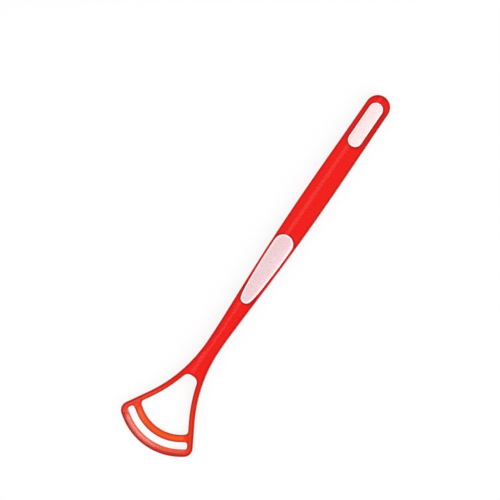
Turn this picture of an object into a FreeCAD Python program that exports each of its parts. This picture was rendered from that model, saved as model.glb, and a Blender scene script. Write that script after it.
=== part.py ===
"""Tongue scraper: a clear plastic handle that fans out into a head with two curved blades, and two
soft rubber grips that are keyed into pockets in the front of the handle.

Sizes are millimetres. X runs along the handle from the tail to the head, Y across it, and Z up from the
flat back. The origin lies on the back, under the middle of the overall length.
"""

import FreeCAD
import Part
import math
import os

# Outline of the handle: widths, and the lengths between the stations where they are measured
tail_width = 11.4
belly_width = 12.0
shoulder_width = 10.4
waist_width = 8.2
neck_width = 7.1
tail_to_belly = 45.0
belly_to_shoulder = 49.0
shoulder_to_waist = 24.0
waist_to_neck = 18.0

# Outline of the fan-shaped head: two struts that open from the neck, and arcs about one centre
flare_radius = 66.0
flare_angle = 30.5
strut_width = 2.6
neck_to_bow_centre = 26.0
neck_to_window = 16.3
bow_radius = 28.25
bow_width = 3.4
slot_width = 3.15
inner_blade_width = 3.35
tip_corner_radius = 4.0
window_apex_radius = 3.0
window_corner_radius = 1.8
slot_corner_radius = 1.1

# Thickness: a crowned handle that thins past the neck to the flat head
handle_thickness = 5.0
head_thickness = 2.8
neck_to_thinning = 8.0
thinning_length = 30.0
crown_radius = 35.0
outer_edge_radius = 1.0
opening_edge_radius = 0.4
inner_blade_thickness = 2.0
scraping_edge_thickness = 0.8
bevel_width = 2.3

# Rubber grips and the pockets that hold them
thumb_grip_start = 76.2
thumb_grip_length = 36.2
thumb_grip_margin = 1.25
thumb_nose_length = 10.6
thumb_nose_radius = 2.5
thumb_nose_angle = 16.0
tail_grip_start = 4.0
tail_grip_length = 22.9
tail_grip_width = 6.5
pocket_depth = 1.8
grip_proud = 0.25
grip_fit_gap = 0.03

# Cross ribs on the grips
rib_pitch = 1.07
rib_width = 0.55
rib_height = 0.25
rib_rim = 0.8

# Anchors: rubber studs that run through the pocket floor to heads let into the back
anchor_diameter = 2.4
anchor_head_diameter = 4.0
anchor_head_height = 1.0
anchor_recess = 0.1
thumb_anchor_count = 3
tail_anchor_count = 2

# Stations along X, measured from the tail end
x_belly = tail_to_belly
x_shoulder = x_belly + belly_to_shoulder
x_waist = x_shoulder + shoulder_to_waist
x_neck = x_waist + waist_to_neck
x_thinning = x_neck + neck_to_thinning
x_window = x_neck + neck_to_window
x_bow_centre = x_neck + neck_to_bow_centre
overall_length = x_bow_centre + bow_radius

# Radii of the head's arcs about the bow centre
slot_outer_radius = bow_radius - bow_width
slot_inner_radius = slot_outer_radius - slot_width
window_radius = slot_inner_radius - inner_blade_width

# Room that cutting tools reach past what they cut
reach = 10.0
overlap = 0.05

V = FreeCAD.Vector
UP = V(0, 0, 1)
bow_axis = V(x_bow_centre, 0, 0)


def mirrored(edge):
    """The edge on the other side of the handle's middle line."""
    return edge.mirror(V(0, 0, 0), V(0, 1, 0))


def line(start, end):
    """A straight edge."""
    return Part.makeLine(start, end)


def arc(start, middle, end):
    """A circular edge through three points."""
    return Part.Arc(start, middle, end).toShape()


def symmetric_face(half, closing):
    """A face between a chain of edges on the +Y side, its mirror image, and the edges on the middle."""
    edges = half + closing + [mirrored(edge) for edge in half]
    return Part.Face(Part.Wire(Part.__sortEdges__(edges)))


def prism(face, low, high):
    """The face extruded upwards between two heights."""
    return face.translated(V(0, 0, low)).extrude(V(0, 0, high - low))


def handle_side():
    """The handle's +Y edge, from the round of the tail to the neck."""
    side = Part.BSplineCurve()
    side.interpolate(
        Points=[
            V(tail_width / 2, tail_width / 2, 0),
            V(x_belly, belly_width / 2, 0),
            V(x_shoulder, shoulder_width / 2, 0),
            V(x_waist, waist_width / 2, 0),
            V(x_neck, neck_width / 2, 0),
        ],
        InitialTangent=V(1, 0, 0),
        FinalTangent=V(1, 0, 0),
    )
    return side


def half_width(x):
    """Half the handle's width at a station between the tail's round and the neck."""
    side = handle_side()
    low, high = side.FirstParameter, side.LastParameter
    for _ in range(60):
        middle = (low + high) / 2
        if side.value(middle).x < x:
            low = middle
        else:
            high = middle
    return side.value(low).y


def flare(inset, start_x):
    """One edge of a strut, inset from its outer edge: an arc from start_x, then a straight run.

    Returns the two edges and their first and last points.
    """
    centre = V(x_neck, neck_width / 2 + flare_radius, 0)
    radius = flare_radius + inset

    def on_arc(angle):
        return centre + V(radius * math.sin(angle), -radius * math.cos(angle), 0)

    first = math.asin((start_x - x_neck) / radius)
    last = math.radians(flare_angle)
    begin, end = on_arc(first), on_arc(last)
    far = end + V(math.cos(last), math.sin(last), 0) * (2 * bow_radius)
    return [arc(begin, on_arc((first + last) / 2), end), line(end, far)], begin, far


def strut_gap():
    """Everything between the two struts, from the window's apex to beyond the bow."""
    half, begin, far = flare(strut_width, x_window)
    apex = line(V(begin.x, -begin.y, 0), begin)
    beyond = line(far, V(far.x, -far.y, 0))
    return prism(symmetric_face(half, [apex, beyond]), -reach, handle_thickness + reach)


def between_struts():
    """A wedge between the struts' straight runs that limits how far the blades are thinned.

    It stays clear of the struts by the larger corner radius, so that the corners keep their full thickness.
    """
    land = max(window_corner_radius, slot_corner_radius)
    _, _, far = flare(strut_width + land, x_neck)
    apex = V(far.x - far.y / math.tan(math.radians(flare_angle)), 0, 0)
    corners = [apex, far, V(far.x, -far.y, 0)]
    return prism(Part.Face(Part.makePolygon(corners + corners[:1])), -reach, handle_thickness + reach)


def bow_disc(radius):
    """A tall cylinder about the bow's axis."""
    height = handle_thickness + 2 * reach
    return Part.makeCylinder(radius, height, bow_axis - UP * reach, UP)


def upright_edges(shape, wanted):
    """The shape's vertical edges whose place passes the test."""
    found = []
    for edge in shape.Edges:
        low, high = edge.Vertexes[0].Point, edge.Vertexes[-1].Point
        if math.hypot(low.x - high.x, low.y - high.y) < 1e-4 and wanted(low):
            found.append(edge)
    return found


def radius_at(point):
    """Distance of a point from the bow's axis."""
    return math.hypot(point.x - bow_axis.x, point.y - bow_axis.y)


def blank():
    """The outline of the whole moulding as a plate, with rounded tips and no openings."""
    side = handle_side().toShape()
    tail_radius = tail_width / 2
    tail = arc(V(tail_radius, -tail_radius, 0), V(0, 0, 0), V(tail_radius, tail_radius, 0))
    struts, _, far = flare(0, x_neck)
    beyond = line(far, V(far.x, -far.y, 0))
    plate = prism(symmetric_face([side] + struts, [tail, beyond]), 0, handle_thickness + reach)
    length = far.x + reach - x_bow_centre
    width = 2 * (far.y + reach)
    trim = Part.makeBox(length, width, handle_thickness + 3 * reach, bow_axis - V(0, width / 2, reach))
    plate = plate.cut(trim.cut(bow_disc(bow_radius)))
    tips = upright_edges(plate, lambda p: abs(radius_at(p) - bow_radius) < 1e-3)
    return plate.makeFillet(tip_corner_radius, tips)


def window():
    """The fan window between the neck and the inner blade, as a cutting tool.

    Its apex is rounded to the apex radius, or to the largest that the gap between the struts takes there.
    """
    tool = strut_gap().common(bow_disc(window_radius))
    apex = upright_edges(tool, lambda p: abs(p.x - x_window) < 1e-3)
    half_gap = abs(apex[0].Vertexes[0].Point.y)
    strut_tilt = math.asin(neck_to_window / (flare_radius + strut_width))
    largest = half_gap * math.tan(math.pi / 4 + strut_tilt / 2) - overlap
    tool = tool.makeFillet(min(window_apex_radius, largest), apex)
    ends = upright_edges(tool, lambda p: abs(radius_at(p) - window_radius) < 1e-3)
    return tool.makeFillet(window_corner_radius, ends)


def slot():
    """The curved slot between the two blades, as a cutting tool."""
    tool = strut_gap().common(bow_disc(slot_outer_radius).cut(bow_disc(slot_inner_radius)))
    return tool.makeFillet(slot_corner_radius, upright_edges(tool, lambda p: True))


def crown(x, top, drop):
    """Control points of a parabola across the handle at station x, drop lower at its ends than at its top."""
    half = bow_radius + reach
    return [V(x, -half, top - drop), V(x, 0, top + drop), V(x, half, top - drop)]


def roof(lift):
    """All the space under the front surface raised by lift.

    Across the handle the surface is a parabola with the crown's radius at its top. Along the handle it
    falls from the handle's thickness to the flat head's past the neck, and the crown flattens with it.
    """
    half = bow_radius + reach
    drop = half**2 / (2 * crown_radius)
    depth = V(0, 0, -2 * drop - handle_thickness - reach)
    step = thinning_length / 5
    rows = [crown(x_thinning + step * i, handle_thickness + lift, drop) for i in range(3)]
    rows += [crown(x_thinning + step * i, head_thickness + lift, 0) for i in range(3, 6)]
    across = Part.BezierCurve()
    across.setPoles(rows[0])
    handle = across.toShape().extrude(V(-x_thinning - reach, 0, 0))
    ramp = Part.BSplineSurface()
    ramp.buildFromPolesMultsKnots(rows, [6, 6], [3, 3], [0.0, 1.0], [0.0, 1.0], False, False, 5, 2)
    corner = rows[-1][0]
    head = Part.makePlane(overall_length + reach - corner.x, 2 * half, corner)
    blocks = [face.extrude(depth) for face in (handle, ramp.toShape(), head)]
    return blocks[0].multiFuse(blocks[1:])


def rim_edges(plate):
    """The edges where an upright wall meets the front or the back."""
    found = []
    for edge in plate.Edges:
        middle = edge.valueAt((edge.FirstParameter + edge.LastParameter) / 2)
        tilts = []
        for face in plate.ancestorsOfType(edge, Part.Face):
            normal = face.normalAt(*face.Surface.parameter(middle))
            tilts.append(abs(normal.z))
        if min(tilts) < 0.1 and max(tilts) > 0.9:
            found.append(edge)
    return found


def rounded_plate():
    """The moulding with its front surface and openings, and every outer and opening edge rounded."""
    plate = blank().common(roof(0)).Solids[0]
    plate = plate.makeFillet(outer_edge_radius, rim_edges(plate))
    plate = plate.cut([window(), slot()]).Solids[0]
    return plate.makeFillet(opening_edge_radius, rim_edges(plate))


def ring(edges):
    """A ring about the bow's axis from a closed chain of edges in the plane of its section."""
    return Part.Face(Part.Wire(edges)).revolve(bow_axis, UP, 360)


def section_point(radius, height):
    """A point of a ring's section, by its distance from the bow's axis and its height."""
    return V(x_bow_centre + radius, 0, height)


def blade_recess():
    """What is taken off the front of the inner blade, with its two long edges left rounded."""
    top = handle_thickness + reach
    crest = inner_blade_thickness
    shoulder = crest - opening_edge_radius
    near, far = window_radius, slot_inner_radius
    bend = opening_edge_radius * (1 - math.sqrt(0.5))
    at = section_point
    edges = [
        line(at(near - overlap, top), at(near - overlap, shoulder)),
        line(at(near - overlap, shoulder), at(near, shoulder)),
        arc(at(near, shoulder), at(near + bend, crest - bend), at(near + opening_edge_radius, crest)),
        line(at(near + opening_edge_radius, crest), at(far - opening_edge_radius, crest)),
        arc(at(far - opening_edge_radius, crest), at(far - bend, crest - bend), at(far, shoulder)),
        line(at(far, shoulder), at(far + overlap, shoulder)),
        line(at(far + overlap, shoulder), at(far + overlap, top)),
        line(at(far + overlap, top), at(near - overlap, top)),
    ]
    return ring(edges).common(between_struts())


def bow_bevel():
    """What is taken off the front of the bow, down to its scraping edge beside the slot."""
    slope = (head_thickness - scraping_edge_thickness) / bevel_width
    near = slot_outer_radius - slot_width / 2
    far = bow_radius
    low = scraping_edge_thickness + slope * (near - slot_outer_radius)
    high = scraping_edge_thickness + slope * (far - slot_outer_radius)
    corners = [section_point(near, low), section_point(far, high), section_point(near, high)]
    return ring(Part.makePolygon(corners + corners[:1]).Edges).common(between_struts())


def thumb_outline(inset):
    """The thumb grip's outline, inset: a round end, sides that follow the handle, and a blunt nose."""
    start = thumb_grip_start + inset
    end = thumb_grip_start + thumb_grip_length - inset
    margin = thumb_grip_margin + inset
    radius = half_width(thumb_grip_start) - margin
    nose_radius = thumb_nose_radius - inset
    nose_angle = math.radians(thumb_nose_angle)
    nose_centre = V(end - nose_radius, 0, 0)
    nose = nose_centre + V(math.sin(nose_angle), math.cos(nose_angle), 0) * nose_radius
    x_taper = thumb_grip_start + thumb_grip_length - thumb_nose_length
    side = Part.BSplineCurve()
    side.interpolate(
        Points=[V(start + radius, radius, 0), V(x_taper, half_width(x_taper) - margin, 0), nose],
        InitialTangent=V(1, 0, 0),
        FinalTangent=V(math.cos(nose_angle), -math.sin(nose_angle), 0),
    )
    back = arc(V(start + radius, -radius, 0), V(start, 0, 0), V(start + radius, radius, 0))
    front = arc(nose, V(end, 0, 0), V(nose.x, -nose.y, 0))
    return symmetric_face([side.toShape()], [back, front])


def tail_outline(inset):
    """The tail grip's outline, inset: two straight sides and two round ends."""
    start = tail_grip_start + inset
    end = tail_grip_start + tail_grip_length - inset
    radius = tail_grip_width / 2 - inset
    side = line(V(start + radius, radius, 0), V(end - radius, radius, 0))
    back = arc(V(start + radius, -radius, 0), V(start, 0, 0), V(start + radius, radius, 0))
    front = arc(V(end - radius, radius, 0), V(end, 0, 0), V(end - radius, -radius, 0))
    return symmetric_face([side], [back, front])


def anchor_places(start, length, count):
    """Stations of a row of anchors, evenly spread along a grip."""
    step = length / count
    return [start + step * (i + 0.5) for i in range(count)]


pocket_floor = handle_thickness - pocket_depth
grips = {
    "thumb_grip": (
        thumb_outline,
        thumb_grip_start,
        thumb_grip_length,
        anchor_places(thumb_grip_start, thumb_grip_length, thumb_anchor_count),
    ),
    "tail_grip": (
        tail_outline,
        tail_grip_start,
        tail_grip_length,
        anchor_places(tail_grip_start, tail_grip_length, tail_anchor_count),
    ),
}


def anchor(x, grow, foot, top):
    """A stud with a head at the back. Grown by the fit gap, it is the hole that the stud fills."""
    stud = Part.makeCylinder(anchor_diameter / 2 + grow, top - foot, V(x, 0, foot), UP)
    head_top = anchor_head_height + grow
    head = Part.makeCylinder(anchor_head_diameter / 2 + grow, head_top - foot, V(x, 0, foot), UP)
    return stud.fuse(head)


def pocket(outline, places):
    """The room that a grip takes in the body."""
    room = prism(outline(0), pocket_floor, handle_thickness + reach)
    holes = [anchor(x, grip_fit_gap, -reach, pocket_floor + overlap) for x in places]
    return room.multiFuse(holes)


def ribs(outline, start, length):
    """Cross ribs that follow the crown, inside a plain rim."""
    count = int((length - 2 * rib_rim - rib_width) / rib_pitch) + 1
    first = start + length / 2 - rib_pitch * (count - 1) / 2
    low = pocket_floor + pocket_depth / 2
    high = handle_thickness + reach
    bars = []
    for i in range(count):
        corner = V(first + rib_pitch * i - rib_width / 2, -belly_width / 2, low)
        bars.append(Part.makeBox(rib_width, belly_width, high - low, corner))
    inside = prism(outline(rib_rim), low - overlap, high + overlap).common(roof(grip_proud + rib_height))
    return Part.makeCompound(bars).common(inside)


def grip(outline, start, length, places):
    """A rubber grip: a crowned pad with ribs, and the anchors that key it to the body."""
    floor = pocket_floor + grip_fit_gap
    pad = prism(outline(grip_fit_gap), floor, handle_thickness + reach).common(roof(grip_proud))
    studs = [anchor(x, 0, anchor_recess, floor + overlap) for x in places]
    pad = pad.multiFuse(studs + ribs(outline, start, length).Solids)
    return pad.removeSplitter()


def body():
    """The clear moulding, with its blades thinned and its pockets cut."""
    tools = [blade_recess(), bow_bevel()]
    tools += [pocket(outline, places) for outline, _, _, places in grips.values()]
    return rounded_plate().cut(tools)


def main():
    os.makedirs("parts", exist_ok=True)
    pieces = {"scraper_body": body()}
    for name, sizes in grips.items():
        pieces[name] = grip(*sizes)
    to_origin = V(-overall_length / 2, 0, 0)
    for name, shape in pieces.items():
        solids = shape.Solids
        print(name, "solids", len(solids), "valid", shape.isValid(), "volume", round(shape.Volume, 1))
        solids[0].translated(to_origin).exportStep(f"parts/{name}.step")


main()
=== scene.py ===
# %% [markdown]
# # A tongue scraper in clear red plastic
#
# The real tool is three pieces: one clear tinted moulding, which is the handle and the fan-shaped head
# with its two curved blades, and two soft rubber grips that sit in pockets in the front of the handle.
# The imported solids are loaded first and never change. They give every size and place, and the pieces
# made below stand in for them where a finer surface is wanted. All lengths are metres.

# %% Load the solids
import math

import bmesh
import bpy
from mathutils import Matrix, Vector
from mathutils.bvhtree import BVHTree


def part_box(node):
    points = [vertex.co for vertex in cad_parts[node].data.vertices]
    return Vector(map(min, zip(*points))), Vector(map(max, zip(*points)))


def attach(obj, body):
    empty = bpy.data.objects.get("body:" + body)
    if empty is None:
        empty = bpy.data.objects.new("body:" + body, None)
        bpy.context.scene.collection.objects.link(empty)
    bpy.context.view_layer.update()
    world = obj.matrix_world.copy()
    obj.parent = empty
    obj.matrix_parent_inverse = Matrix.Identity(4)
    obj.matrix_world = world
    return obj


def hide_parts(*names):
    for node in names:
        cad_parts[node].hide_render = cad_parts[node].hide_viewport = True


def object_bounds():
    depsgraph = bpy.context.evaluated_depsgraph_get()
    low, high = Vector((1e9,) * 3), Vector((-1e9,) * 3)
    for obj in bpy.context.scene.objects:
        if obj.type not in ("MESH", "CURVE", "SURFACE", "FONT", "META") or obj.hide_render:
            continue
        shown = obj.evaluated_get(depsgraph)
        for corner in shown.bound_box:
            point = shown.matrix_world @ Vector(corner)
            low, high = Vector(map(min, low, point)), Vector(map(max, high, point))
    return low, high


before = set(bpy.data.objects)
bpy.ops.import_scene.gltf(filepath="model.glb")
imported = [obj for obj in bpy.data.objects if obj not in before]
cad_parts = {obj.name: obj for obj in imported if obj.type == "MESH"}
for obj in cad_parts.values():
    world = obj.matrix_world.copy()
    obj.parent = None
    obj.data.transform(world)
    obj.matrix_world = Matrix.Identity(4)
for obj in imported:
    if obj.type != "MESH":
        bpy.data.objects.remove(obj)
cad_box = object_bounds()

scene = bpy.context.scene
scene.view_settings.view_transform = "Standard"

length = cad_box[1].x - cad_box[0].x
print("solids:", sorted(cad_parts), "length:", round(length, 5))

# %% [markdown]
# ## The camera
#
# The tool lies on its flat back and is seen almost straight down through a long lens, so its two ends in
# the picture say nearly everything about the view: how far the handle is turned, how large a pixel is,
# and where the picture's middle lies. The camera leans a few degrees to the picture's lower right, which
# shows a little of the walls on that side.

# %% Place the camera
picture_side = 500
tail_pixel = Vector((384.55, 96.9))
head_pixel = Vector((145.85, 445.35))
lean_right = math.radians(3.0)
lean_down = math.radians(3.5)
lens = 100.0
sensor = 36.0
near_clip = 0.01

axis_pixels = head_pixel - tail_pixel
pixel = length / axis_pixels.length
across, down = axis_pixels.normalized()
right = Vector((across, down, 0))
up = Vector((-down, across, 0))
above = Vector((0, 0, 1))

middle_pixel = (tail_pixel + head_pixel) / 2
offset = Vector((picture_side / 2, picture_side / 2)) - middle_pixel
aim = pixel * (offset.x * right - offset.y * up) + above * cad_box[1].z / 2
distance = picture_side * pixel * lens / sensor

towards = (above + math.tan(lean_right) * right - math.tan(lean_down) * up).normalized()
camera_x = (right - right.dot(towards) * towards).normalized()
camera_y = towards.cross(camera_x)

camera_data = bpy.data.cameras.new("camera")
camera_data.lens = lens
camera_data.sensor_width = sensor
camera_data.clip_start = near_clip
camera = bpy.data.objects.new("camera", camera_data)
scene.collection.objects.link(camera)
turn = Matrix((camera_x, camera_y, towards)).transposed()
camera.matrix_world = Matrix.Translation(aim + towards * distance) @ turn.to_4x4()
scene.camera = camera
print("one pixel is", round(pixel * 1000, 3), "mm; the camera is", round(distance, 3), "m away")

# %% [markdown]
# ## Small helpers for node trees
#
# Geometry trees and shader trees are both built from nodes and links, so a few small helpers serve them
# all. The first adds a node and fills its inputs with links or plain values, and the others are the small
# steps of arithmetic that come back again and again.

# %% Helpers for nodes
def place(tree, kind, inputs=None, **options):
    """Adds a node, sets its options, and links or sets its inputs by name or number."""
    node = tree.nodes.new(kind)
    for name, value in options.items():
        setattr(node, name, value)
    for key, value in (inputs or {}).items():
        if isinstance(value, bpy.types.NodeSocket):
            tree.links.new(value, node.inputs[key])
        else:
            node.inputs[key].default_value = value
    return node


def calc(tree, operation, first, second=0.0, third=0.0):
    """One step of arithmetic on values, as a Math node."""
    return place(tree, "ShaderNodeMath", {0: first, 1: second, 2: third}, operation=operation).outputs[0]


def fade(tree, value, low, high, at_low, at_high):
    """A soft step from at_low to at_high as the value goes from low to high."""
    inputs = {0: value, 1: low, 2: high, 3: at_low, 4: at_high}
    return place(tree, "ShaderNodeMapRange", inputs, interpolation_type="SMOOTHSTEP").outputs[0]


def point(tree, x, y, z):
    """A point from three values."""
    return place(tree, "ShaderNodeCombineXYZ", {0: x, 1: y, 2: z}).outputs[0]


def spread(tree, start, end):
    """The distance between two points."""
    return place(tree, "ShaderNodeVectorMath", {0: start, 1: end}, operation="DISTANCE").outputs["Value"]


print("node helpers are ready")

# %% [markdown]
# ## The floor and the room
#
# The tool lies on plain white, and what shines through clear plastic is what lies behind it. So the
# floor glows white for rays that come from the camera or through the plastic, and less for reflections.
# For all other rays it is an ordinary matt surface. Part of the camera's view of it stays matt, which
# keeps a soft shadow. The room is white where the camera sees it, directly or through the plastic. What
# the glossy plastic mirrors is dim nearly all round, as in a studio with dark cards, because a bright
# ceiling would wash out its red and bright walls would draw white lines along its edges. Only a low white
# card beyond the tail is bright in reflections: the bow's bevel mirrors it and looks pale.

# %% Make the floor and the room
floor_drop = 0.0003
floor_half = 1.5
floor_white = 0.97
plain_white = (1.0, 1.0, 1.0, 1.0)
matt_share = 0.16
room_white = 1.0
room_mirrored = 0.3
floor_mirrored = 0.8
room_light = 0.76
card_mirrored = 1.7
card_turn = math.radians(20)
card_edges = (0.72, 0.95)
card_heights = (0.3, 0.5)


def lit_floor():
    """White paper that glows for the camera and through the plastic, and takes a soft shadow."""
    material = bpy.data.materials.new("floor_white")
    material.use_nodes = True
    tree = material.node_tree
    tree.nodes.clear()
    path = place(tree, "ShaderNodeLightPath").outputs
    seen = calc(tree, "MULTIPLY", path["Is Camera Ray"], 1 - matt_share)
    shown = calc(tree, "MAXIMUM", path["Is Glossy Ray"], path["Is Transmission Ray"])
    mirrored = calc(tree, "GREATER_THAN", path["Is Glossy Ray"], path["Is Transmission Ray"])
    strength = place(tree, "ShaderNodeMix", {0: mirrored, 2: 1.0, 3: floor_mirrored}).outputs[0]
    matt = place(tree, "ShaderNodeBsdfDiffuse", {"Color": (floor_white, floor_white, floor_white, 1)})
    glow = place(tree, "ShaderNodeEmission", {"Color": plain_white, "Strength": strength})
    inputs = {0: calc(tree, "MAXIMUM", seen, shown), 1: matt.outputs[0], 2: glow.outputs[0]}
    both = place(tree, "ShaderNodeMixShader", inputs)
    place(tree, "ShaderNodeOutputMaterial", {"Surface": both.outputs[0]})
    return material


def studio_room():
    """A room that is white to look at, dim in reflections but for one card, and gives an even light."""
    world = bpy.data.worlds.new("studio_room")
    world.use_nodes = True
    tree = world.node_tree
    tree.nodes.clear()
    path = place(tree, "ShaderNodeLightPath").outputs
    seen = calc(tree, "MAXIMUM", path["Is Camera Ray"], path["Is Transmission Ray"])
    direction = place(tree, "ShaderNodeTexCoord").outputs["Generated"]
    x, y, z = place(tree, "ShaderNodeSeparateXYZ", {0: direction}).outputs
    sideways = calc(tree, "MULTIPLY", y, math.sin(card_turn))
    towards_card = calc(tree, "MULTIPLY_ADD", x, -math.cos(card_turn), sideways)
    wide = fade(tree, towards_card, *card_edges, 0.0, 1.0)
    card = calc(tree, "MULTIPLY", wide, fade(tree, z, *card_heights, 1.0, 0.0))
    mirrored = place(tree, "ShaderNodeMix", {0: card, 2: room_mirrored, 3: card_mirrored}).outputs[0]
    unseen = place(tree, "ShaderNodeMix", {0: path["Is Glossy Ray"], 2: room_light, 3: mirrored})
    strength = place(tree, "ShaderNodeMix", {0: seen, 2: unseen.outputs[0], 3: room_white}).outputs[0]
    light = place(tree, "ShaderNodeBackground", {"Color": plain_white, "Strength": strength})
    place(tree, "ShaderNodeOutputWorld", {"Surface": light.outputs[0]})
    return world


floor_mesh = bpy.data.meshes.new("floor")
corners = [(-1, -1), (1, -1), (1, 1), (-1, 1)]
points = [(x * floor_half, y * floor_half, -floor_drop) for x, y in corners]
floor_mesh.from_pydata(points, [], [(0, 1, 2, 3)])
floor_mesh.materials.append(lit_floor())
floor = bpy.data.objects.new("floor", floor_mesh)
scene.collection.objects.link(floor)
scene.world = studio_room()
print("the floor lies", floor_drop * 1000, "mm under the back")

# %% [markdown]
# ## The lamps
#
# One large soft box at the picture's lower right lights the rubber. It is kept out of reflections, as a
# photographer does with a polarising filter, because its mirror image would draw a light line along every
# rounded edge. A long dim strip hangs over the handle, and its mirror image is the faint light band along
# the crown. Each lamp is given by the brightness of its face, so that its size changes how soft it is and
# its reflection stays the same.

# %% Hang the lamps
lamp_distance = 1.2
along_handle = Vector((1, 0, 0))
across_handle = Vector((0, 1, 0))
key_direction = 0.75 * above + 0.75 * right - 0.65 * up
key_side = 1.1
key_brightness = 2.4
strip_direction = above - 0.135 * across_handle
strip_width = 0.12
strip_length = 0.7
strip_brightness = 0.5


def soft_box(name, direction, short_side, long_side, brightness, mirrored):
    """A rectangular lamp that faces the tool, with its long side along the handle."""
    facing = direction.normalized()
    lamp_y = (along_handle - along_handle.dot(facing) * facing).normalized()
    lamp_x = lamp_y.cross(facing)
    lamp = bpy.data.lights.new(name, "AREA")
    lamp.shape = "RECTANGLE"
    lamp.size = short_side
    lamp.size_y = long_side
    lamp.energy = brightness * math.pi * short_side * long_side
    box = bpy.data.objects.new(name, lamp)
    turned = Matrix((lamp_x, lamp_y, facing)).transposed()
    box.matrix_world = Matrix.Translation(facing * lamp_distance) @ turned.to_4x4()
    box.visible_glossy = mirrored
    scene.collection.objects.link(box)


soft_box("key_box", key_direction, key_side, key_side, key_brightness, False)
soft_box("overhead_strip", strip_direction, strip_width, strip_length, strip_brightness, True)

# %% [markdown]
# ## A moulded surface
#
# Both materials come out of a steel mould, and neither is perfectly even. The clear plastic has slow
# ripples where it shrank, and the rubber has the fine grain that was etched into its mould. Both are
# noise at two scales, so one shader group serves both, with its own scales in each material. It puts out
# a height for the bump and a mask for roughness and colour.

# %% Build the shared moulded surface
ripple_detail = 2.0
grain_detail = 3.0
noise_low = 0.3
noise_high = 0.7


def moulded_surface():
    """A shader group: slow ripples and fine grain as a height, and a slow mask from 0 to 1."""
    group = bpy.data.node_groups.new("moulded_surface", "ShaderNodeTree")
    for name in ("Vector", "Ripple Scale", "Grain Scale", "Grain Share"):
        kind = "NodeSocketVector" if name == "Vector" else "NodeSocketFloat"
        group.interface.new_socket(name, in_out="INPUT", socket_type=kind)
    for name in ("Height", "Mask", "Grain"):
        group.interface.new_socket(name, in_out="OUTPUT", socket_type="NodeSocketFloat")
    given = place(group, "NodeGroupInput").outputs
    inputs = {"Vector": given["Vector"], "Scale": given["Ripple Scale"], "Detail": ripple_detail}
    ripple = place(group, "ShaderNodeTexNoise", inputs).outputs[0]
    inputs = {"Vector": given["Vector"], "Scale": given["Grain Scale"], "Detail": grain_detail}
    grain = place(group, "ShaderNodeTexNoise", inputs).outputs[0]
    height = place(group, "ShaderNodeMix", {0: given["Grain Share"], 2: ripple, 3: grain}).outputs[0]
    mask = fade(group, ripple, noise_low, noise_high, 0.0, 1.0)
    place(group, "NodeGroupOutput", {"Height": height, "Mask": mask, "Grain": grain})
    return group


surface_group = moulded_surface()
print("shader group:", surface_group.name)

# %% [markdown]
# ## Where the plastic looks darker
#
# Along its edges clear plastic looks darker, because light is caught there and runs on inside, and beside
# the grips too, because they keep light out. This shade is painted into the colour. Painted lines would
# have hard borders, so the painted shade follows the distance instead and fades as the real darkening
# does. The moulding's mesh gives the distance to an edge. The distance to a grip is worked out as for a
# long pill that narrows to one end, and the distance to the inner blade's edges from the middle of the
# bow. None of it depends on where the camera stands.

# %% Find the places beside the grips
fit_gap = 0.00003
thumb_nose_radius = 0.0025
nose_power = 3.0
pocket_clear = 0.0013
pocket_slack = 0.00002


def pocket_pill(name, last_radius=None):
    """A grip's pocket as a pill: where its two round ends are centred, and their radii."""
    low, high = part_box(name)
    first_radius = high.y + fit_gap
    last_radius = last_radius or first_radius
    return low.x - fit_gap + first_radius, high.x + fit_gap - last_radius, first_radius, last_radius


def beside_pocket(tree, x, y, pill):
    """From 1 at a pocket's wall to 0 where its band of painted shade ends, and 0 in the pocket."""
    first, last, first_radius, last_radius = pill
    share = place(tree, "ShaderNodeMapRange", {0: x, 1: first, 2: last, 3: 0.0, 4: 1.0}).outputs[0]
    middle = calc(tree, "MULTIPLY_ADD", share, last - first, first)
    narrowing = calc(tree, "POWER", share, nose_power)
    radius = calc(tree, "MULTIPLY_ADD", narrowing, last_radius - first_radius, first_radius)
    from_middle = spread(tree, point(tree, x, y, 0.0), point(tree, middle, 0.0, 0.0))
    distance = calc(tree, "SUBTRACT", from_middle, radius)
    outside = calc(tree, "GREATER_THAN", distance, -pocket_slack)
    return calc(tree, "MULTIPLY", outside, fade(tree, distance, 0.0, pocket_clear, 1.0, 0.0))


thumb_pill = pocket_pill("thumb_grip", thumb_nose_radius)
print("the thumb grip's pocket as a pill:", [round(value, 5) for value in thumb_pill])

# %% Find the edges of the inner blade
bow_middle = Vector((0.066875, 0.0, 0.0))
blade_inside = 0.01835
blade_outside = 0.0217
blade_end = 0.0125
blade_fade = 0.002
opening_clear = 0.0013


def to_blade_edge(tree, x, y):
    """How far a point of the inner blade is from its nearer edge, and a long way elsewhere."""
    radius = spread(tree, point(tree, x, y, 0.0), bow_middle)
    from_inside = calc(tree, "SUBTRACT", radius, blade_inside)
    from_outside = calc(tree, "SUBTRACT", blade_outside, radius)
    nearer = calc(tree, "MINIMUM", from_inside, from_outside)
    elsewhere = calc(tree, "LESS_THAN", nearer, 0.0)
    ends = fade(tree, calc(tree, "ABSOLUTE", y), blade_end, blade_end + blade_fade, 0.0, opening_clear)
    behind = calc(tree, "LESS_THAN", x, bow_middle.x)
    return calc(tree, "ADD", calc(tree, "ADD", nearer, ends), calc(tree, "MAXIMUM", elsewhere, behind))


print("the inner blade is", round((blade_outside - blade_inside) * 1000, 2), "mm wide")

# %% Join the dark places
rim_attribute = "rim_distance"
opening_attribute = "opening_distance"
outer_start = 0.0003
outer_dark = 0.0005
outer_clear = 0.0015
opening_share = 0.85
pocket_share = 0.9
facing_low = 0.3
facing_high = 0.6


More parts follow.
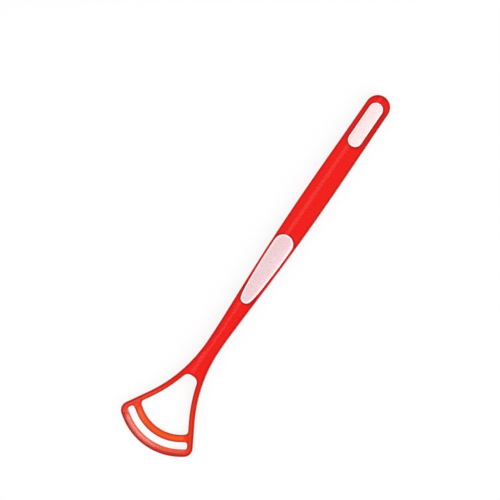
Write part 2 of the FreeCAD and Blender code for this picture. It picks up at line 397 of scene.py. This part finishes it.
def painted_shade_places(tree, x, y):
    """How much painted shade the plastic gets: along the outside, along the openings and beside the grips.
    """
    to_rim = place(tree, "ShaderNodeAttribute", attribute_name=rim_attribute).outputs["Fac"]
    to_opening = place(tree, "ShaderNodeAttribute", attribute_name=opening_attribute).outputs["Fac"]
    inwards = fade(tree, to_rim, outer_dark, outer_clear, 1.0, 0.0)
    rim = calc(tree, "MULTIPLY", inwards, fade(tree, to_rim, 0.0, outer_start, 0.0, 1.0))
    to_edge = calc(tree, "MINIMUM", to_opening, to_blade_edge(tree, x, y))
    opening = fade(tree, to_edge, 0.0, opening_clear, opening_share, 0.0)
    pills = [pocket_pill("tail_grip"), thumb_pill]
    tail, thumb = [beside_pocket(tree, x, y, pill) for pill in pills]
    normal = place(tree, "ShaderNodeNewGeometry").outputs["True Normal"]
    tilt = calc(tree, "ABSOLUTE", place(tree, "ShaderNodeSeparateXYZ", {0: normal}).outputs["Z"])
    facing = fade(tree, tilt, facing_low, facing_high, 0.0, pocket_share)
    beside = calc(tree, "MULTIPLY", facing, calc(tree, "MAXIMUM", tail, thumb))
    return calc(tree, "MAXIMUM", calc(tree, "MAXIMUM", rim, opening), beside)


print("the outer edges look darkest", outer_dark * 1000, "mm in")

# %% [markdown]
# ## The pale lip of the bow
#
# The bow's sharp lip looks pale and a little pink, because it mirrors the white around it. A pale paint
# would hide the depth of the plastic, so the lip gets a rough coat instead, which mirrors the white card,
# over a painted tint that takes out some green: the sheen is partly reflection and partly painted. Both
# are strongest at the lip and fade up the bevel.

# %% Find the lip's sheen
lip_radius = 0.02485
lip_inside = 0.0003
bevel_width = 0.0023
bevel_fade = 0.0004
bevel_share = 0.15
lip_end = 0.0155
lip_fade = 0.0015


# Where the lip's sheen lies: its rough coat, and its painted tint that takes out some green.
def lip_sheen(tree, x, y):
    """From 1 at the bow's lip to a small share at the top of its bevel, and 0 elsewhere."""
    radius = spread(tree, point(tree, x, y, 0.0), bow_middle)
    top = lip_radius + bevel_width
    slope = fade(tree, radius, lip_radius, top, 1.0, bevel_share)
    inside = fade(tree, radius, lip_radius - lip_inside, lip_radius, 0.0, 1.0)
    outside = fade(tree, radius, top, top + bevel_fade, 1.0, 0.0)
    ends = fade(tree, calc(tree, "ABSOLUTE", y), lip_end, lip_end + lip_fade, 1.0, 0.0)
    ahead = calc(tree, "GREATER_THAN", x, bow_middle.x)
    band = calc(tree, "MULTIPLY", calc(tree, "MULTIPLY", inside, outside), ahead)
    return calc(tree, "MULTIPLY", calc(tree, "MULTIPLY", slope, band), ends)


print("the bevel of the bow is", bevel_width * 1000, "mm wide")

# %% [markdown]
# ## Clear red plastic
#
# The plastic is clear, and its colour comes from its depth: white light loses its blue and green on the
# way through. That is why the thin blades look orange and the thick handle a full red. An even tint on
# the surface would miss all of that, so the colour is a volume that absorbs, inside a surface that only
# bends and mirrors light, with the painted shade and the lip's sheen from above.

# %% Mix the clear plastic
absorbed_red = 20.0
absorbed_green = 1150.0
absorbed_blue = 2500.0
plastic_index = 1.53
plastic_clear = (1.0, 0.96, 0.94, 1.0)
# The colour of the painted shade along the edges, along the openings and beside the grips.
painted_edge_shade = (0.36, 0.03, 0.03, 1.0)
# The tint of the lip's sheen, painted to take out some green.
lip_sheen_tint = (1.0, 0.45, 1.0, 1.0)
polished = 0.03
rippled = 0.07
plastic_ripples = 55.0
plastic_grain = 900.0
plastic_grain_share = 0.05
plastic_bump = 0.000015
lip_roughness = 0.35
lip_index = 2.8


def clear_plastic():
    """Polished clear plastic that absorbs green and blue light along its depth."""
    material = bpy.data.materials.new("clear_red_plastic")
    material.use_nodes = True
    tree = material.node_tree
    tree.nodes.clear()
    where = place(tree, "ShaderNodeTexCoord").outputs["Object"]
    x, y, _ = place(tree, "ShaderNodeSeparateXYZ", {0: where}).outputs
    inputs = {
        "Vector": where,
        "Ripple Scale": plastic_ripples,
        "Grain Scale": plastic_grain,
        "Grain Share": plastic_grain_share,
    }
    finish = place(tree, "ShaderNodeGroup", inputs, node_tree=surface_group).outputs
    roughness = fade(tree, finish["Mask"], 0.0, 1.0, polished, rippled)
    bump = place(tree, "ShaderNodeBump", {"Height": finish["Height"], "Distance": plastic_bump})
    lip = lip_sheen(tree, x, y)
    inputs = {0: lip, 6: plastic_clear, 7: lip_sheen_tint}
    with_lip = place(tree, "ShaderNodeMix", inputs, data_type="RGBA").outputs[2]
    # Painted shade, kept off the lip.
    dark = calc(tree, "MULTIPLY", painted_shade_places(tree, x, y), calc(tree, "SUBTRACT", 1.0, lip))
    inputs = {0: dark, 6: with_lip, 7: painted_edge_shade}
    colour = place(tree, "ShaderNodeMix", inputs, data_type="RGBA")
    inputs = {
        "Base Color": colour.outputs[2],
        "Roughness": roughness,
        "IOR": plastic_index,
        "Transmission Weight": 1.0,
        "Coat Weight": lip,
        "Coat Roughness": lip_roughness,
        "Coat IOR": lip_index,
        "Normal": bump.outputs[0],
    }
    surface = place(tree, "ShaderNodeBsdfPrincipled", inputs)
    kept = (1 - absorbed_red / absorbed_blue, 1 - absorbed_green / absorbed_blue, 0.0, 1.0)
    depth = place(tree, "ShaderNodeVolumeAbsorption", {"Color": kept, "Density": absorbed_blue})
    place(tree, "ShaderNodeOutputMaterial", {"Surface": surface.outputs[0], "Volume": depth.outputs[0]})
    return material


plastic = clear_plastic()
sample_depth = 0.002
kept_green = math.exp(-absorbed_green * sample_depth)
print("over", sample_depth * 1000, "mm the plastic keeps", round(kept_green, 3), "of green light")

# %% [markdown]
# ## How far the edges are
#
# The material of the moulding needs to know how far each point is from an edge, and the faces can tell. A
# level ray is sent out of every wall: where it meets nothing, the wall is on the outside, and where it
# meets plastic again, the wall is in an opening of the head or in a pocket. The distances to the nearest
# outer wall and to the nearest opening are stored on the face corners. Faces that span the inner blade
# from edge to edge are left out, because they have no points between, and the material works that
# distance out by itself. A cut along the middle gives the handle points there, so that the distance rises
# from each side to the middle, and about the window's apex long edges are halved, so that it follows the
# curve.

# %% Sort the walls and measure the distances
upright = 0.3
head_start = 0.03
ray_start = 1e-5
wall_height = 0.0014
far_away = 1.0
span_slack = 0.00005
apex_start = 0.045
apex_end = 0.072
longest_edge = 0.0012
cut_rounds = 4
weld = 1e-6


def sorted_walls(shape):
    """The upright faces in three groups: on the outside, in the head's openings and in the pockets."""
    whole = BVHTree.FromBMesh(shape)
    groups = {"outside": [], "openings": [], "pockets": []}
    for face in shape.faces:
        if abs(face.normal.z) < upright:
            level = Vector((face.normal.x, face.normal.y, 0)).normalized()
            middle = face.calc_center_median()
            met = whole.ray_cast(middle + level * ray_start, level)[0]
            inside = "openings" if middle.x > head_start else "pockets"
            groups["outside" if met is None else inside].append(face)
    return groups


def search_tree(faces):
    """A tree that finds the nearest point on some triangles."""
    points = [vert.co.copy() for face in faces for vert in face.verts]
    return BVHTree.FromPolygons(points, [range(first, first + 3) for first in range(0, len(points), 3)])


def by_apex(edge):
    """Whether the middle of an edge lies about the apex of the window."""
    first, last = edge.verts
    return apex_start < (first.co.x + last.co.x) / 2 < apex_end


def cut_long_edges(shape):
    """Halves the long edges about the window's apex, over and over."""
    for _ in range(cut_rounds):
        near = [edge for edge in shape.edges if by_apex(edge)]
        long_edges = [edge for edge in near if edge.calc_length() > longest_edge]
        bmesh.ops.subdivide_edges(shape, edges=long_edges, cuts=1, use_single_edge=True)
        bmesh.ops.triangulate(shape, faces=shape.faces)
    print("faces after the long edges are cut:", len(shape.faces))


def measure_edges(shape):
    """Stores on each face corner how far the outside and the openings are. Returns the outer walls."""
    everything = list(shape.verts) + list(shape.edges) + list(shape.faces)
    bmesh.ops.bisect_plane(shape, geom=everything, dist=weld, plane_co=(0, 0, 0), plane_no=(0, 1, 0))
    bmesh.ops.triangulate(shape, faces=shape.faces)
    cut_long_edges(shape)
    rim = shape.loops.layers.float.new(rim_attribute)
    opening = shape.loops.layers.float.new(opening_attribute)
    walls = sorted_walls(shape)
    outside = search_tree(walls["outside"])
    openings = search_tree(walls["openings"])
    for face in shape.faces:
        spots = [Vector((*loop.vert.co.xy, wall_height)) for loop in face.loops]
        to_opening = [openings.find_nearest(spot)[3] for spot in spots]
        middle = Vector((*face.calc_center_median().xy, wall_height))
        spanning = openings.find_nearest(middle)[3] > max(to_opening) + span_slack
        for loop, spot, distance in zip(face.loops, spots, to_opening):
            loop[rim] = outside.find_nearest(spot)[3]
            loop[opening] = far_away if spanning else distance
    print("walls:", {name: len(faces) for name, faces in walls.items()})
    return outside


print("edges over", longest_edge * 1000, "mm are halved about the window's apex")

# %% [markdown]
# ## The moulding
#
# The solid already has the right shape, with its crown, its thinned blades and its rounded edges. Its mesh
# is loose triangles, one patch for each face, so light breaks a little where two patches meet. A copy is
# welded together and its normals are weighted by area: flat faces stay flat, rounded edges flow into
# them, and real corners are kept sharp. The front of the handle is gently crowned and its triangles are
# long, so there the normals come from the form itself: the crown falls away to both sides as a circle
# does, the neck thins in one smooth ramp, and along the outer edge the front turns over in a quarter
# round.

# %% Describe the front of the handle
handle_thickness = 0.005
head_thickness = 0.0028
crown_radius = 0.035
outer_radius = 0.001
thinning_start = 0.04088
thinning_length = 0.03
form_end = 0.0709
form_slack = 0.00015
wall_slack = 0.00005


def front_form(x, y):
    """The height of the front of the handle at a point, and its normal."""
    share = min(max((x - thinning_start) / thinning_length, 0.0), 1.0)
    # A step that starts and ends without a kink, and its rate of change.
    thinned = share ** 3 * (10 - 15 * share + 6 * share ** 2)
    rate = 30 * share ** 2 * (1 - share) ** 2 / thinning_length
    crown = y * y / (2 * crown_radius)
    to_head = head_thickness - handle_thickness + crown
    height = handle_thickness - crown + to_head * thinned
    slope_along = to_head * rate
    slope_across = -y / crown_radius * (1 - thinned)
    return height, Vector((-slope_along, -slope_across, 1)).normalized()


def formed_normal(spot, outside):
    """The normal of the handle's front at a point of it, or None for a point that isn't on the front."""
    height, normal = front_form(spot.x, spot.y)
    nearest, wall_normal, _, gap = outside.find_nearest(Vector((*spot.xy, wall_height)))
    tilt = max(1 - gap / outer_radius, 0.0)
    rise = math.sqrt(1 - tilt ** 2)
    if spot.x > form_end or abs(height - outer_radius * (1 - rise) - spot.z) > form_slack:
        return None
    out = (nearest - spot) if gap > wall_slack else wall_normal
    level = Vector((out.x, out.y, 0)).normalized()
    return (normal * rise + level * tilt).normalized()


def form_front(mesh, outside):
    """Sets the normals of the handle's front from its form. The other normals stay."""
    normals = [corner.vector.copy() for corner in mesh.corner_normals]
    formed = 0
    for face in mesh.polygons:
        spots = [mesh.vertices[index].co for index in face.vertices]
        found = [formed_normal(spot, outside) for spot in spots] if face.normal.z > upright else [None]
        if None not in found:
            formed += 1
            for corner, normal in zip(face.loop_indices, found):
                normals[corner] = normal
    mesh.normals_split_custom_set(normals)
    print("faces on the front of the handle:", formed)


print("the handle is", front_form(0.0, 0.0)[0] * 1000, "mm thick in the middle")

# %% Weld the moulding
corner_angle = math.radians(32)
flat_weight = 100


def finished(maker, name):
    """The object's shape after its modifiers, as a plain mesh in a new object. The maker is removed."""
    graph = bpy.context.evaluated_depsgraph_get()
    mesh = bpy.data.meshes.new_from_object(maker.evaluated_get(graph))
    mesh.name = name
    bpy.data.objects.remove(maker)
    piece = bpy.data.objects.new(name, mesh)
    scene.collection.objects.link(piece)
    return piece


def welded_moulding(node):
    """A copy of the moulding with its patches joined, its edges measured and its normals smoothed."""
    shape = bmesh.new()
    shape.from_mesh(node.data)
    bmesh.ops.remove_doubles(shape, verts=shape.verts, dist=weld)
    shape.normal_update()
    outside = measure_edges(shape)
    mesh = bpy.data.meshes.new("welding")
    shape.to_mesh(mesh)
    shape.free()
    mesh.shade_smooth()
    mesh.set_sharp_from_angle(angle=corner_angle)
    maker = bpy.data.objects.new("welding", mesh)
    scene.collection.objects.link(maker)
    weights = maker.modifiers.new("weights", "WEIGHTED_NORMAL")
    weights.keep_sharp = True
    weights.weight = flat_weight
    piece = finished(maker, "clear_moulding")
    form_front(piece.data, outside)
    return piece


moulding = welded_moulding(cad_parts["scraper_body"])
moulding.data.materials.clear()
moulding.data.materials.append(plastic)
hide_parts("scraper_body")
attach(moulding, "root")
print(moulding.name, "has", len(moulding.data.polygons), "faces")

# %% [markdown]
# ## Soft white rubber
#
# The grips are a soft rubber, matt and nearly white. A little red light reaches it from the plastic
# around and under it, and the grooves between the ribs lie in shade. Both are painted into its colour: a
# faint painted pink everywhere, and painted shade that deepens it in the grooves, most of all on the
# larger grip. The plain rim is the whitest. The grip's own mesh says how much of that painted shade each
# point gets, from where it lies among the ribs, and the material reads that. The same moulded surface as
# the plastic's serves here at a finer scale: it is the grain that was etched into the mould.

# %% Mix the rubber
# Painted light in the rubber's colour: a faint pink from the red plastic, and painted shade in the
# grooves, deeper on the thumb grip.
rubber_rim = (0.95, 0.80, 0.82, 1.0)
rubber_groove_shade_tail = (0.95, 0.77, 0.77, 1.0)
rubber_groove_shade_thumb = (0.84, 0.60, 0.64, 1.0)
tail_side = -0.065
thumb_side = -0.020
ribbing_attribute = "ribbing"
rubber_ripples = 180.0
rubber_grain = 7000.0
rubber_grain_share = 0.8
rubber_bump = 0.000005
rubber_smooth = 0.55
rubber_rough = 0.75
rubber_index = 1.45
mottling = 0.1


def grip_rubber():
    """Matt white rubber with an etched grain, a faint painted pink and painted shade in its grooves."""
    material = bpy.data.materials.new("soft_white_rubber")
    material.use_nodes = True
    tree = material.node_tree
    tree.nodes.clear()
    where = place(tree, "ShaderNodeTexCoord").outputs["Object"]
    inputs = {
        "Vector": where,
        "Ripple Scale": rubber_ripples,
        "Grain Scale": rubber_grain,
        "Grain Share": rubber_grain_share,
    }
    finish = place(tree, "ShaderNodeGroup", inputs, node_tree=surface_group).outputs
    along = place(tree, "ShaderNodeSeparateXYZ", {0: where}).outputs["X"]
    larger = fade(tree, along, tail_side, thumb_side, 0.0, 1.0)
    inputs = {0: larger, 6: rubber_groove_shade_tail, 7: rubber_groove_shade_thumb}
    groove = place(tree, "ShaderNodeMix", inputs, data_type="RGBA").outputs[2]
    ribbing = place(tree, "ShaderNodeAttribute", attribute_name=ribbing_attribute).outputs["Fac"]
    uneven = fade(tree, finish["Mask"], 0.0, 1.0, 1 - mottling, 1 + mottling)
    mottled = calc(tree, "MULTIPLY", ribbing, uneven)
    colour = place(tree, "ShaderNodeMix", {0: mottled, 6: rubber_rim, 7: groove}, data_type="RGBA")
    roughness = fade(tree, finish["Grain"], noise_low, noise_high, rubber_smooth, rubber_rough)
    bump = place(tree, "ShaderNodeBump", {"Height": finish["Height"], "Distance": rubber_bump})
    inputs = {
        "Base Color": colour.outputs[2],
        "Roughness": roughness,
        "IOR": rubber_index,
        "Normal": bump.outputs[0],
    }
    surface = place(tree, "ShaderNodeBsdfPrincipled", inputs)
    place(tree, "ShaderNodeOutputMaterial", {"Surface": surface.outputs[0]})
    return material


rubber = grip_rubber()
print("materials:", plastic.name, rubber.name)

# %% [markdown]
# ## The ribbed grips
#
# A grip is a pad with a plain rounded rim and fine ribs across it, and studs underneath that key it into
# the handle. Its whole front follows one rule: at each point, the distance to the rim says how far the
# edge rounds off and where the ribs fade out, and the distance along the handle says where on a rib the
# point lies. So a geometry tree makes it, from a grid that is laid out between the walls of the solid
# grip, which a ray and a nearest-point search find. The studs are one shape, repeated along a line.

# %% Name the sizes of a grip
grip_inputs = {
    "Solid": "NodeSocketObject",
    "Stud": "NodeSocketObject",
    "Rubber": "NodeSocketMaterial",
    "Start": "NodeSocketFloat",
    "End": "NodeSocketFloat",
    "Columns": "NodeSocketInt",
    "Rows": "NodeSocketInt",
    "Floor": "NodeSocketFloat",
    "Top": "NodeSocketFloat",
    "Crown Radius": "NodeSocketFloat",
    "Rim": "NodeSocketFloat",
    "Rim Radius": "NodeSocketFloat",
    "Rib Pitch": "NodeSocketFloat",
    "Rib Width": "NodeSocketFloat",
    "Rib Height": "NodeSocketFloat",
    "Rib Shift": "NodeSocketFloat",
    "Stud Count": "NodeSocketInt",
    "Stud First": "NodeSocketFloat",
    "Stud Step": "NodeSocketFloat",
}
print("a grip is given by", len(grip_inputs), "inputs")

# %% Add small steps for geometry
tree_weld = 1e-7


def moved_to(tree, geometry, position, selection=True):
    """The geometry with its points, or the selected ones, at a position."""
    inputs = {"Geometry": geometry, "Position": position, "Selection": selection}
    return place(tree, "GeometryNodeSetPosition", inputs).outputs[0]


def welded(tree, geometry):
    """The geometry with points that coincide made one."""
    inputs = {"Geometry": geometry, "Distance": tree_weld}
    return place(tree, "GeometryNodeMergeByDistance", inputs).outputs[0]


def joined(tree, *parts):
    """Several geometries as one."""
    node = place(tree, "GeometryNodeJoinGeometry")
    for part in parts:
        tree.links.new(part, node.inputs[0])
    return node.outputs[0]


def at_floor(tree, given):
    """The place straight below each point, on the pad's floor."""
    spot = place(tree, "GeometryNodeInputPosition").outputs[0]
    x, y, _ = place(tree, "ShaderNodeSeparateXYZ", {0: spot}).outputs
    return point(tree, x, y, given["Floor"])


print("points closer than", tree_weld, "m are made one")

# %% Lay out the points of a pad
ray_reach = 0.05


def pad_points(tree, given):
    """A grid, the place of its points between the pad's walls, and their distance to the rim."""
    solid = place(tree, "GeometryNodeObjectInfo", {"Object": given["Solid"]}).outputs["Geometry"]
    inputs = {"Size X": 1.0, "Size Y": 1.0, "Vertices X": given["Columns"], "Vertices Y": given["Rows"]}
    grid = place(tree, "GeometryNodeMeshGrid", inputs).outputs[0]
    spot = place(tree, "GeometryNodeInputPosition").outputs[0]
    grid_x, grid_y, _ = place(tree, "ShaderNodeSeparateXYZ", {0: spot}).outputs

    span = calc(tree, "SUBTRACT", given["End"], given["Start"])
    share = calc(tree, "ADD", grid_x, 0.5)
    x = calc(tree, "MULTIPLY_ADD", share, span, given["Start"])
    mid_height = calc(tree, "MULTIPLY", calc(tree, "ADD", given["Floor"], given["Top"]), 0.5)
    inputs = {
        "Target Geometry": solid,
        "Source Position": point(tree, x, ray_reach, mid_height),
        "Ray Direction": (0.0, -1.0, 0.0),
        "Ray Length": ray_reach,
    }
    hit = place(tree, "GeometryNodeRaycast", inputs).outputs["Hit Position"]
    half_width = place(tree, "ShaderNodeSeparateXYZ", {0: hit}).outputs["Y"]
    y = calc(tree, "MULTIPLY", calc(tree, "SINE", calc(tree, "MULTIPLY", grid_y, math.pi)), half_width)

    inputs = {"Geometry": solid, "Sample Position": point(tree, x, y, mid_height)}
    to_rim = place(tree, "GeometryNodeProximity", inputs, target_element="FACES").outputs["Distance"]
    return grid, x, y, to_rim


print("the walls of a pad are found by rays", ray_reach, "m long")

# %% Shape the ribbed front
crest_share = 0.15
foot_share = 0.75
rim_fade = 0.2
# How much less painted shade a rib's crest gets than a groove.
crest_paler = 0.3


def rib_form(tree, given, x, to_rim):
    """How far the ribs rise at each point, and how much painted shade it gets: none on the rim, less on a
    crest, most in a groove.
    """
    middle = calc(tree, "MULTIPLY", calc(tree, "ADD", given["Start"], given["End"]), 0.5)
    along = calc(tree, "ADD", calc(tree, "SUBTRACT", x, middle), given["Rib Shift"])
    half_pitch = calc(tree, "MULTIPLY", given["Rib Pitch"], 0.5)
    from_rib = calc(tree, "PINGPONG", along, half_pitch)
    crest = calc(tree, "MULTIPLY", given["Rib Width"], crest_share)
    foot = calc(tree, "MULTIPLY", given["Rib Width"], foot_share)
    rib = fade(tree, from_rib, crest, foot, 1.0, 0.0)
    rim_low = calc(tree, "MULTIPLY", given["Rim"], 1 - rim_fade)
    rim_high = calc(tree, "MULTIPLY", given["Rim"], 1 + rim_fade)
    ribbed = fade(tree, to_rim, rim_low, rim_high, 0.0, 1.0)
    rise = calc(tree, "MULTIPLY", calc(tree, "MULTIPLY", rib, ribbed), given["Rib Height"])
    # The painted shade: none on the rim, less on a crest, most in a groove.
    depth = calc(tree, "MULTIPLY", ribbed, calc(tree, "MULTIPLY_ADD", rib, -crest_paler, 1.0))
    return rise, depth


def rim_rounding(tree, radius, to_rim):
    """How far the front falls in the quarter round along the rim."""
    inside = calc(tree, "MAXIMUM", calc(tree, "SUBTRACT", radius, to_rim), 0.0)
    radius_square = calc(tree, "MULTIPLY", radius, radius)
    inside_square = calc(tree, "MULTIPLY", inside, inside)
    kept = calc(tree, "SQRT", calc(tree, "SUBTRACT", radius_square, inside_square))
    return calc(tree, "SUBTRACT", radius, kept)


def grip_front(tree, given):
    """The ribbed front of the pad, as a sheet."""
    grid, x, y, to_rim = pad_points(tree, given)
    twice_radius = calc(tree, "MULTIPLY", given["Crown Radius"], 2.0)
    drop = calc(tree, "DIVIDE", calc(tree, "MULTIPLY", y, y), twice_radius)
    crowned = calc(tree, "SUBTRACT", given["Top"], drop)
    rise, depth = rib_form(tree, given, x, to_rim)
    # The painted shade of each point is stored for the rubber's material.
    inputs = {"Geometry": grid, "Name": ribbing_attribute, "Value": depth}
    options = {"data_type": "FLOAT", "domain": "POINT"}
    marked = place(tree, "GeometryNodeStoreNamedAttribute", inputs, **options).outputs[0]
    rounding = rim_rounding(tree, given["Rim Radius"], to_rim)
    z = calc(tree, "ADD", calc(tree, "SUBTRACT", crowned, rounding), rise)
    return welded(tree, moved_to(tree, marked, point(tree, x, y, z)))


print("a rib's flank takes up", foot_share - crest_share, "of the rib's width")

# %% Close the pad and add its studs
wall_drop = 0.001


def grip_studs(tree, given):
    """The studs under the pad, on a line along the handle."""
    stud = place(tree, "GeometryNodeObjectInfo", {"Object": given["Stud"]}).outputs["Geometry"]
    inputs = {
        "Count": given["Stud Count"],
        "Start Location": point(tree, given["Stud First"], 0.0, 0.0),
        "Offset": point(tree, given["Stud Step"], 0.0, 0.0),
    }
    row = place(tree, "GeometryNodeMeshLine", inputs).outputs[0]
    return place(tree, "GeometryNodeInstanceOnPoints", {"Points": row, "Instance": stud}).outputs[0]


def grip_tree():
    """The geometry tree of a ribbed grip: front, wall, back and studs."""
    tree = bpy.data.node_groups.new("ribbed_grip", "GeometryNodeTree")
    for name, kind in grip_inputs.items():
        tree.interface.new_socket(name, in_out="INPUT", socket_type=kind)
    tree.interface.new_socket("Grip", in_out="OUTPUT", socket_type="NodeSocketGeometry")
    given = place(tree, "NodeGroupInput").outputs

    front = grip_front(tree, given)
    neighbours = place(tree, "GeometryNodeInputMeshEdgeNeighbors").outputs[0]
    border = place(tree, "FunctionNodeCompare", {2: neighbours, 3: 1}, data_type="INT", operation="EQUAL")
    inputs = {
        "Mesh": front,
        "Selection": border.outputs[0],
        "Offset": point(tree, 0.0, 0.0, -1.0),
        "Offset Scale": wall_drop,
    }
    walled = place(tree, "GeometryNodeExtrudeMesh", inputs, mode="EDGES").outputs
    sides = moved_to(tree, walled["Mesh"], at_floor(tree, given), walled["Top"])
    lowered = moved_to(tree, front, at_floor(tree, given))
    back = place(tree, "GeometryNodeFlipFaces", {"Mesh": lowered}).outputs[0]
    pad = welded(tree, joined(tree, sides, back))

    whole = joined(tree, pad, grip_studs(tree, given))
    real = place(tree, "GeometryNodeRealizeInstances", {"Geometry": whole}).outputs[0]
    inputs = {"Geometry": real, "Material": given["Rubber"]}
    dressed = place(tree, "GeometryNodeSetMaterial", inputs).outputs[0]
    place(tree, "NodeGroupOutput", {"Grip": dressed})
    return tree


ribbed_grip = grip_tree()
print("geometry tree:", ribbed_grip.name, "with", len(ribbed_grip.nodes), "nodes")

# %% [markdown]
# ## One stud
#
# A stud is a round pin with a wider head at the back of the handle. It is turned like a part on a lathe,
# from a short profile, and the tree above repeats it.

# %% Turn the stud
pocket_depth = 0.0018
stud_radius = 0.0012
stud_head_radius = 0.002
stud_head_height = 0.001
stud_recess = 0.0001
stud_sunk = 0.00005
stud_edge = 0.00015
stud_sides = 40

pad_floor = handle_thickness - pocket_depth + fit_gap


def turned_stud():
    """A lathe-turned stud about the Z axis, from its head at the back to just inside the pad."""
    profile = [
        (0.0, stud_recess),
        (stud_head_radius - stud_edge, stud_recess),
        (stud_head_radius, stud_recess + stud_edge),
        (stud_head_radius, stud_head_height - stud_edge),
        (stud_head_radius - stud_edge, stud_head_height),
        (stud_radius, stud_head_height),
        (stud_radius, pad_floor + stud_sunk),
        (0.0, pad_floor + stud_sunk),
    ]
    shape = bmesh.new()
    ring = [shape.verts.new((radius, 0.0, height)) for radius, height in profile]
    edges = [shape.edges.new(pair) for pair in zip(ring, ring[1:])]
    geometry = ring + edges
    turning = {"cent": (0, 0, 0), "axis": (0, 0, 1), "angle": math.tau, "steps": stud_sides}
    bmesh.ops.spin(shape, geom=geometry, use_merge=True, **turning)
    bmesh.ops.remove_doubles(shape, verts=shape.verts, dist=weld)
    bmesh.ops.recalc_face_normals(shape, faces=shape.faces)
    mesh = bpy.data.meshes.new("stud")
    shape.to_mesh(mesh)
    shape.free()
    stud = bpy.data.objects.new("stud", mesh)
    scene.collection.objects.link(stud)
    return stud


stud = turned_stud()
print("one stud has", len(stud.data.polygons), "faces")

# %% [markdown]
# ## Both grips
#
# The two grips differ only in their outline, which the solids give, and in how many studs they have. The
# ribs are counted as on the solids: as many as fit between the rims, spread evenly about the middle.

# %% Make both grips
rib_pitch = 0.00107
rib_width = 0.00055
rib_height = 0.00025
rib_rim = 0.0008
rim_radius = 0.0001
columns_per_rib = 12
row_spacing = 0.00025
stud_counts = {"thumb_grip": 3, "tail_grip": 2}
smooth_angle = math.radians(50)


def ribbed_pad(name, stud_count):
    """The rubber grip that stands for one solid grip."""
    low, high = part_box(name)
    span = high.x - low.x
    rib_count = int((span + 2 * fit_gap - 2 * rib_rim - rib_width) / rib_pitch) + 1
    stud_step = (span + 2 * fit_gap) / stud_count
    sizes = {
        "Solid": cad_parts[name],
        "Stud": stud,
        "Rubber": rubber,
        "Start": low.x,
        "End": high.x,
        "Columns": int(span / rib_pitch * columns_per_rib),
        "Rows": 2 * int((high.y - low.y) / row_spacing / 2) + 1,
        "Floor": pad_floor,
        "Top": high.z - rib_height,
        "Crown Radius": crown_radius,
        "Rim": rib_rim,
        "Rim Radius": rim_radius,
        "Rib Pitch": rib_pitch,
        "Rib Width": rib_width,
        "Rib Height": rib_height,
        "Rib Shift": 0.0 if rib_count % 2 else rib_pitch / 2,
        "Stud Count": stud_count,
        "Stud First": low.x - fit_gap + stud_step / 2,
        "Stud Step": stud_step,
    }
    maker = bpy.data.objects.new("maker", bpy.data.meshes.new("maker"))
    scene.collection.objects.link(maker)
    modifier = maker.modifiers.new("grip", "NODES")
    modifier.node_group = ribbed_grip
    for item in ribbed_grip.interface.items_tree:
        if item.in_out == "INPUT":
            modifier[item.identifier] = sizes[item.name]
    grip = finished(maker, name + "_rubber")
    shape = bmesh.new()
    shape.from_mesh(grip.data)
    bmesh.ops.recalc_face_normals(shape, faces=shape.faces)
    shape.to_mesh(grip.data)
    shape.free()
    grip.data.shade_smooth()
    grip.data.set_sharp_from_angle(angle=smooth_angle)
    print(grip.name, "has", rib_count, "ribs and", len(grip.data.polygons), "faces")
    return grip


for name, stud_count in stud_counts.items():
    grip = ribbed_pad(name, stud_count)
    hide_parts(name)
    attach(grip, "root")
bpy.data.objects.remove(stud)
